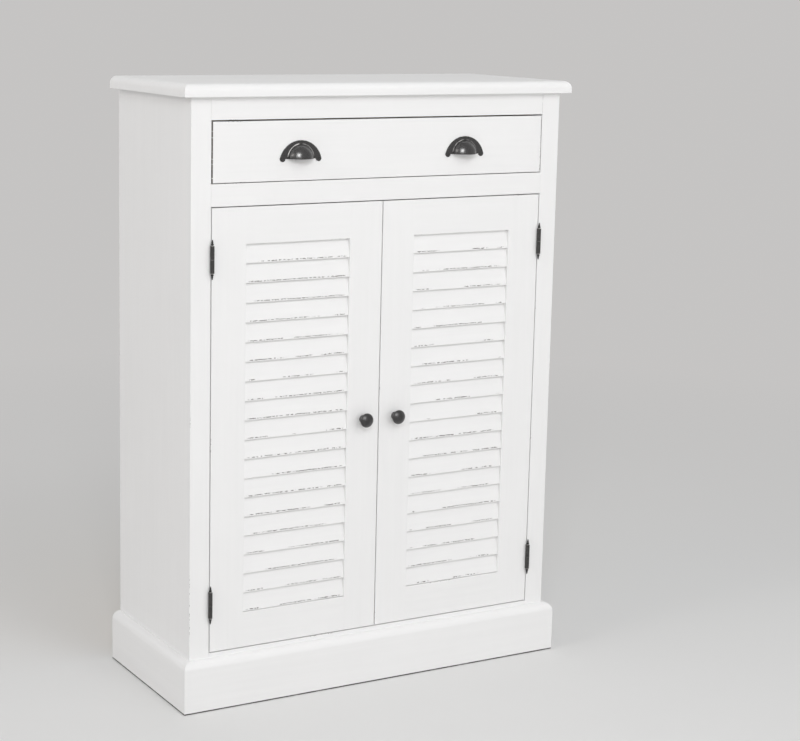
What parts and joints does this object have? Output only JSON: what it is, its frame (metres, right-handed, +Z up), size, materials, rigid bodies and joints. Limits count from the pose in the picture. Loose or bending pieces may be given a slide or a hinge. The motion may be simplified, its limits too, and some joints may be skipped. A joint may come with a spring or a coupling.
{
  "type": "louvred door cabinet",
  "caption": "Free-standing painted wooden cupboard with a full-width drawer on cup pulls above a pair of inset louvred doors on butt hinges, standing on a mitred plinth.",
  "frame": {"origin": "middle of the overall box (pulls and knobs included) on the floor", "axes": "+X to the right as seen from the front, +Y towards the back panel, +Z up; the doors face -Y"},
  "size_m": [0.858, 0.365, 1.2],
  "materials": {
    "white_paint": "satin white brushed paint on wood, rubbed through in places along the edges",
    "bare_pine": "planed, unpainted softwood with a thin clear seal",
    "panel_board": "smooth unpainted thin plywood",
    "dark_iron": "dark anthracite satin lacquered cast metal",
    "dark_steel": "dark blackened steel, satin",
    "zinc": "bright zinc-plated steel",
    "catch_plastic": "off-white moulded plastic"
  },
  "bodies": {
    "carcase": {"back_panel": "panel_board", "back_screws": "zinc", "bottom_board": "white_paint", "bottom_face_rail": "white_paint", "divider_board": "white_paint", "door_catches": "catch_plastic", "drawer_stops": "bare_pine", "frame_hinge_screws": "zinc", "front_plinth": "white_paint", "hinge_pins": "dark_steel", "left_drawer_kicker": "bare_pine", "left_drawer_runner": "bare_pine", "left_face_stile": "white_paint", "left_lower_frame_leaf": "dark_steel", "left_plinth": "white_paint", "left_side_panel": "white_paint", "left_upper_frame_leaf": "dark_steel", "lower_shelf": "white_paint", "middle_face_rail": "white_paint", "rear_base_rail": "bare_pine", "right_drawer_kicker": "bare_pine", "right_drawer_runner": "bare_pine", "right_face_stile": "white_paint", "right_lower_frame_leaf": "dark_steel", "right_plinth": "white_paint", "right_side_panel": "white_paint", "right_upper_frame_leaf": "dark_steel", "shelf_pins": "zinc", "top_board": "white_paint", "top_face_rail": "white_paint", "top_screws": "zinc", "upper_shelf": "white_paint"},
    "drawer": {"drawer_front": "white_paint", "left_drawer_side": "bare_pine", "right_drawer_side": "bare_pine", "drawer_back": "bare_pine", "drawer_bottom": "panel_board", "left_cup_pull": "dark_iron", "right_cup_pull": "dark_iron", "cup_pull_screws": "dark_steel"},
    "left_door": {"left_door_bottom_rail": "white_paint", "left_door_hinge_screws": "zinc", "left_door_hinge_stile": "white_paint", "left_door_knob": "dark_iron", "left_door_meeting_stile": "white_paint", "left_door_slats": "white_paint", "left_door_strike_plate": "zinc", "left_door_top_rail": "white_paint", "left_lower_door_leaf": "dark_steel", "left_upper_door_leaf": "dark_steel"},
    "right_door": {"right_door_bottom_rail": "white_paint", "right_door_hinge_screws": "zinc", "right_door_hinge_stile": "white_paint", "right_door_knob": "dark_iron", "right_door_meeting_stile": "white_paint", "right_door_slats": "white_paint", "right_door_strike_plate": "zinc", "right_door_top_rail": "white_paint", "right_lower_door_leaf": "dark_steel", "right_upper_door_leaf": "dark_steel"}
  },
  "joints": [
    {"name": "drawer_slide", "type": "slide", "parent": "carcase", "child": "drawer", "axis": [0, -1, 0], "range_m": [0, 0.23]},
    {"name": "left_door_hinge", "type": "hinge", "parent": "carcase", "child": "left_door", "pos_m": [-0.368, -0.1618, 0.5], "axis": [0, 0, -1], "range_deg": [0, 170]},
    {"name": "right_door_hinge", "type": "hinge", "parent": "carcase", "child": "right_door", "pos_m": [0.368, -0.1618, 0.5], "axis": [0, 0, 1], "range_deg": [0, 170]}
  ]
}
